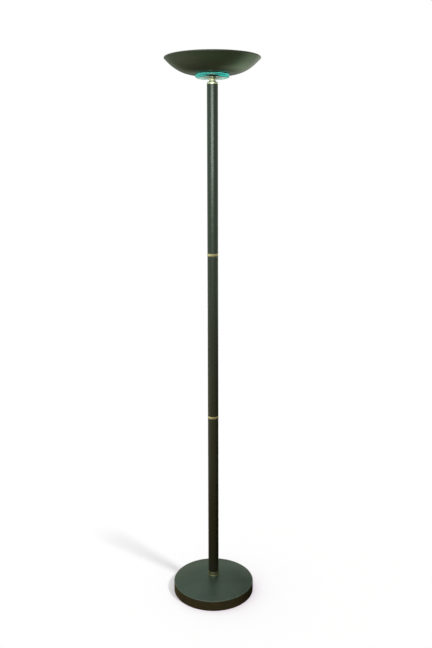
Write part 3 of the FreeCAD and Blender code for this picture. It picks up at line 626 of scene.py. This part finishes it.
# floor: plain and white to the camera; what the lamp reflects of it is a dimmer, warmer room floor
fm = bpy.data.materials.new("floor")
fm.use_nodes = True
ft = Tree(fm.node_tree)
lp = ft.n("ShaderNodeLightPath")
geo = ft.n("ShaderNodeNewGeometry")
pos = geo.outputs["Position"]
sep = ft.n("ShaderNodeSeparateXYZ")
ft.put(sep.inputs[0], pos)
flat = ft.n("ShaderNodeVectorMath", operation="NORMALIZE")
ft.put(flat.inputs[0], pos)
dist = ft.n("ShaderNodeVectorMath", operation="LENGTH")
ft.put(dist.inputs[0], pos)
fxyz = ft.n("ShaderNodeSeparateXYZ")
ft.put(fxyz.inputs[0], flat.outputs[0])
fx, fy = fxyz.outputs[0], fxyz.outputs[1]
far = ft.remap(dist.outputs["Value"], 2.6, 6.5)
close = ft.math("SUBTRACT", 1.0, far)
right = ft.remap(fx, 0.45, 0.95)
left = ft.remap(ft.math("MULTIPLY", fx, -1.0), 0.35, 1.0)
left_near = ft.math("MULTIPLY", left, ft.remap(dist.outputs["Value"], 0.4, 1.9))
back_left = ft.math("MULTIPLY", ft.remap(fy, 0.0, 0.6), ft.remap(ft.math("MULTIPLY", fx, -1.0), 0.2, 0.8))
patch = ft.math("MULTIPLY", ft.remap(ft.dot(flat.outputs[0], (0.5, 0.866, 0.0)), 0.90, 0.985), far)
dim = ft.math("MULTIPLY", close, ft.math("SUBTRACT", 1.0, ft.math("MULTIPLY", right, 0.9)))
behind = ft.remap(fy, 0.35, 0.85)
dim = ft.math("MULTIPLY", dim, ft.math("SUBTRACT", 1.0, ft.math("MULTIPLY", behind, 0.75)))
left_near = ft.math("MULTIPLY", left_near, ft.math("SUBTRACT", 1.0, ft.math("MULTIPLY", behind, 0.5)))
foot_shade = ft.math("MULTIPLY", dim, ft.remap(dist.outputs["Value"], 0.15, 1.6, 1.0, 0.0))
room = total(ft, [((0.27, 0.225, 0.130), dim), ((-0.12, -0.105, -0.070), foot_shade),
                  ((0.36, 0.42, 0.33), ft.math("MULTIPLY", close, left_near)),
                  ((0.15, 0.17, 0.14), ft.math("MULTIPLY", close, back_left)),
                  ((0.50, 0.56, 0.44), far), ((0.20, 0.24, 0.19), ft.math("MULTIPLY", far, left)),
                  ((0.70, 0.70, 0.60), patch)])
glow = ft.n("ShaderNodeEmission")
ft.put(glow.inputs["Color"], room)
white = ft.n("ShaderNodeEmission")
white.inputs["Color"].default_value = (1.6, 1.6, 1.6, 1)
lift = ft.n("ShaderNodeEmission")
lift.inputs["Color"].default_value = (0.262, 0.160, 0.240, 1)
chalk = ft.n("ShaderNodeBsdfDiffuse")
chalk.inputs["Color"].default_value = (0.8, 0.8, 0.8, 1)
seen = ft.n("ShaderNodeAddShader")
m1, m2 = ft.n("ShaderNodeMixShader"), ft.n("ShaderNodeMixShader")
out = ft.n("ShaderNodeOutputMaterial")
L = ft.t.links.new
L(lift.outputs[0], seen.inputs[0])
L(chalk.outputs[0], seen.inputs[1])
L(lp.outputs["Is Transmission Ray"], m1.inputs[0])
L(glow.outputs[0], m1.inputs[1])
L(white.outputs[0], m1.inputs[2])
L(lp.outputs["Is Camera Ray"], m2.inputs[0])
L(m1.outputs[0], m2.inputs[1])
L(seen.outputs[0], m2.inputs[2])
L(m2.outputs[0], out.inputs["Surface"])

me = bpy.data.meshes.new("floor")
bm = bmesh.new()
bmesh.ops.create_circle(bm, cap_ends=True, segments=96, radius=14.0)
bm.to_mesh(me)
bm.free()
me.materials.append(fm)
floor = bpy.data.objects.new("floor", me)
scene.collection.objects.link(floor)

world = bpy.data.worlds.new("studio")
scene.world = world
world.use_nodes = True
wt = Tree(world.node_tree)
lp = wt.n("ShaderNodeLightPath")
d = wt.n("ShaderNodeTexCoord").outputs["Generated"]
sp = wt.n("ShaderNodeSeparateXYZ")
wt.put(sp.inputs[0], d)
X, Y, Z = sp.outputs
left = wt.remap(wt.math("MULTIPLY", X, -1.0), 0.15, 0.90)
right = wt.remap(X, 0.15, 0.90)
right_up = wt.math("MULTIPLY", wt.remap(X, 0.06, 0.34), wt.remap(Z, 0.12, 0.42))
patch = wt.remap(wt.dot(d, (0.5, 0.866, -0.05)), 0.90, 0.985)
top = wt.remap(Z, 0.50, 0.90)
room = total(wt, [((0.47, 0.57, 0.46), 1.0), ((0.20, 0.29, 0.24), left), ((0.05, 0.05, 0.04), right),
                  ((-0.37, -0.45, -0.37), right_up), ((0.40, 0.41, 0.36), patch), ((0.40, 0.48, 0.46), top)])
thru = wt.n("ShaderNodeMix", data_type="RGBA")
wt.put(thru.inputs[0], lp.outputs["Is Transmission Ray"])
wt.put(thru.inputs[6], room)
thru.inputs[7].default_value = (1.6, 1.6, 1.6, 1)
mixed = wt.n("ShaderNodeMix", data_type="RGBA")
wt.put(mixed.inputs[0], lp.outputs["Is Camera Ray"])
wt.put(mixed.inputs[6], thru.outputs[2])
mixed.inputs[7].default_value = (1, 1, 1, 1)
bg = wt.n("ShaderNodeBackground")
wt.put(bg.inputs["Color"], mixed.outputs[2])
wo = wt.n("ShaderNodeOutputWorld")
wt.t.links.new(bg.outputs[0], wo.inputs["Surface"])


def aim(o, at):
    o.rotation_mode = "QUATERNION"
    o.rotation_quaternion = (Vector(at) - o.location).to_track_quat("-Z", "Y")


def area(name, at, to, size, power, color=(1, 1, 1)):
    dl = bpy.data.lights.new(name, "AREA")
    dl.shape = "RECTANGLE"
    dl.size, dl.size_y = size
    dl.energy = power
    dl.color = color
    o = bpy.data.objects.new(name, dl)
    scene.collection.objects.link(o)
    o.location = at
    aim(o, to)
    o.visible_camera = False
    return o


# the sun only draws the soft shadow on the floor, and the front light only lights the lamp
only_floor = bpy.data.collections.new("only_floor")
only_floor.objects.link(floor)
not_floor = bpy.data.collections.new("not_floor")
for o in (floor, NODES["lower_ring"], NODES["upper_ring"]):
    not_floor.objects.link(o)
for c in not_floor.collection_objects:
    c.light_linking.link_state = "EXCLUDE"
sun = bpy.data.lights.new("key", "SUN")
sun.energy = 1.436
sun.angle = math.radians(8.2)
so = bpy.data.objects.new("key", sun)
scene.collection.objects.link(so)
so.location = (0.73 * 3, -0.66 * 3, 3.25)
aim(so, (0, 0, 0))
so.light_linking.receiver_collection = only_floor
shaded = bpy.data.collections.new("shaded")     # what draws the shadow: base and lower pole
for name in ("base_cover", "base_collar", "lower_tube"):
    shaded.objects.link(NODES[name])
so.light_linking.blocker_collection = shaded
front = area("front", (-0.34, -2.47, 1.765), (-0.24, 0, 1.765), (2.3, 0.67), 50.0, (0.86, 1.0, 0.90))
front.light_linking.receiver_collection = not_floor
only_bowl = bpy.data.collections.new("only_bowl")
only_bowl.objects.link(NODES["bowl"])
under = area("under", (1.15, 1.35, 0.40), (0.05, 0, 1.76), (1.6, 1.0), 8.0, (0.72, 1.0, 0.62))
under.light_linking.receiver_collection = only_bowl
